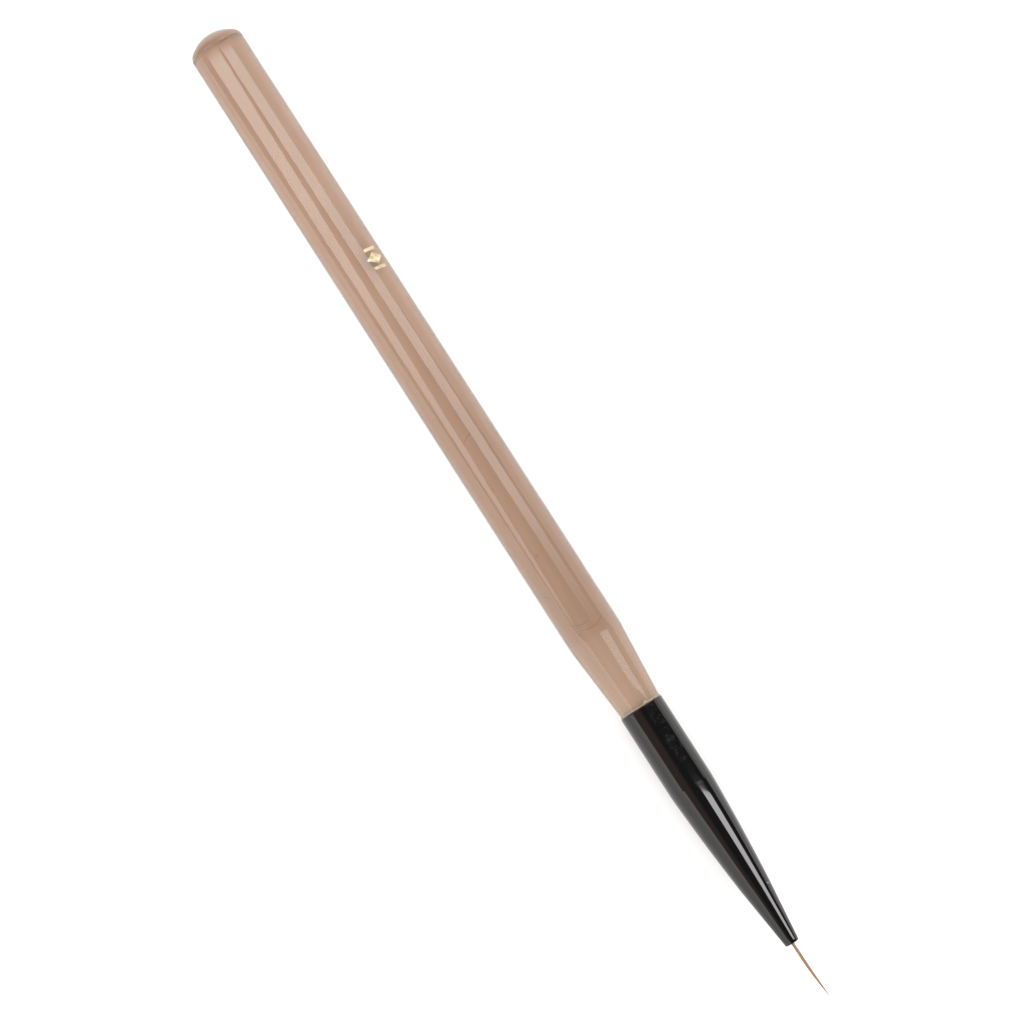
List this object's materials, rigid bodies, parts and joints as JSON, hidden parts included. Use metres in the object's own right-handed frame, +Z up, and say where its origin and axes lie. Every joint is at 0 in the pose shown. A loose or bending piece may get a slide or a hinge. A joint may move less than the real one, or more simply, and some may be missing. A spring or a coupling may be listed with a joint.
{
  "type": "fine detail brush",
  "caption": "Slim round-handled liner brush: clear-coated rose-beige handle, drawn black metal ferrule and a fine pointed hair tuft for fine lines and small details.",
  "frame": {"origin": "on the surface that the brush lies on, midway between the end of the butt and the tip of the hair, under the brush's axis", "axes": "+X along the brush from the butt to the hair, +Z up from the surface, +Y to the side with the foil mark"},
  "size_m": [0.1672, 0.0084, 0.0085],
  "materials": {
    "clear_acrylic": "polished clear acrylic",
    "rose_beige": "smooth rose-beige",
    "seam_glue": "set adhesive",
    "gold_foil": "hot-stamped pale gold foil",
    "joint_glue": "pale yellow-green set adhesive",
    "black_ferrule": "glossy black lacquer over drawn metal",
    "root_resin": "dark set epoxy",
    "thread": "waxed binding thread",
    "hair": "fine brown synthetic filament"
  },
  "bodies": {
    "brush": {"butt_cap": "clear_acrylic", "cap_glue": "seam_glue", "handle_shell": "clear_acrylic", "handle_core": "rose_beige", "foil_mark": "gold_foil", "joint_glue": "joint_glue", "ferrule": "black_ferrule", "root_resin": "root_resin", "root_thread": "thread", "hair_roots": "hair"},
    "tuft": {"hair_tuft": "hair"}
  },
  "joints": [
    {"name": "tuft_bend", "type": "hinge", "parent": "brush", "child": "tuft", "pos_m": [0.07412, 0, 0.00425], "axis": [0, 0, 1], "range_deg": [-40, 40], "stiffness_Nm_per_rad": 0.00005}
  ]
}
